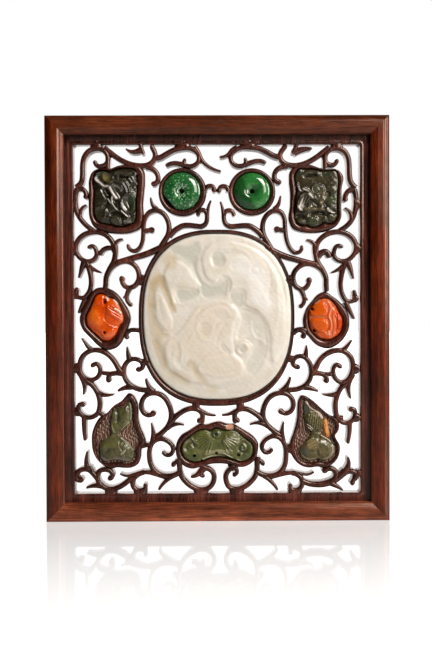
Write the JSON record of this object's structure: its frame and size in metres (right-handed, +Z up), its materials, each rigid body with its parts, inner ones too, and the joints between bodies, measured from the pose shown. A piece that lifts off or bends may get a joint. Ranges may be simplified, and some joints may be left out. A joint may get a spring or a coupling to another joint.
{
  "type": "table screen",
  "caption": "Upright hardwood table screen: a mitred moulded frame round an openwork panel of scrolling tendrils set with carved stone plaques.",
  "frame": {"origin": "centre of the underside of the bottom rail, midway through the frame's depth", "axes": "+Z up the screen, +X across it to the right seen from the show side, +Y from the show side to the back"},
  "size_m": [0.24, 0.026, 0.283],
  "materials": {
    "hardwood": "dark waxed hardwood",
    "centre_plaque": "polished pale jade",
    "disc_left": "glassy green stone",
    "disc_right": "glassy green stone",
    "upper_left_plaque": "polished dark green stone",
    "upper_right_plaque": "polished dark olive stone",
    "carnelian_left": "polished orange stone",
    "carnelian_right": "polished orange red stone",
    "lower_left_plaque": "polished olive stone",
    "lower_right_plaque": "polished olive stone",
    "cloud_plaque": "polished olive stone"
  },
  "bodies": {
    "root": {"frame_top_rail": "hardwood", "frame_bottom_rail": "hardwood", "frame_left_stile": "hardwood", "frame_right_stile": "hardwood", "openwork_panel": "hardwood", "centre_plaque": "centre_plaque", "disc_left": "disc_left", "disc_right": "disc_right", "upper_left_plaque": "upper_left_plaque", "upper_right_plaque": "upper_right_plaque", "carnelian_left": "carnelian_left", "carnelian_right": "carnelian_right", "lower_left_plaque": "lower_left_plaque", "lower_right_plaque": "lower_right_plaque", "cloud_plaque": "cloud_plaque"}
  },
  "joints": []
}
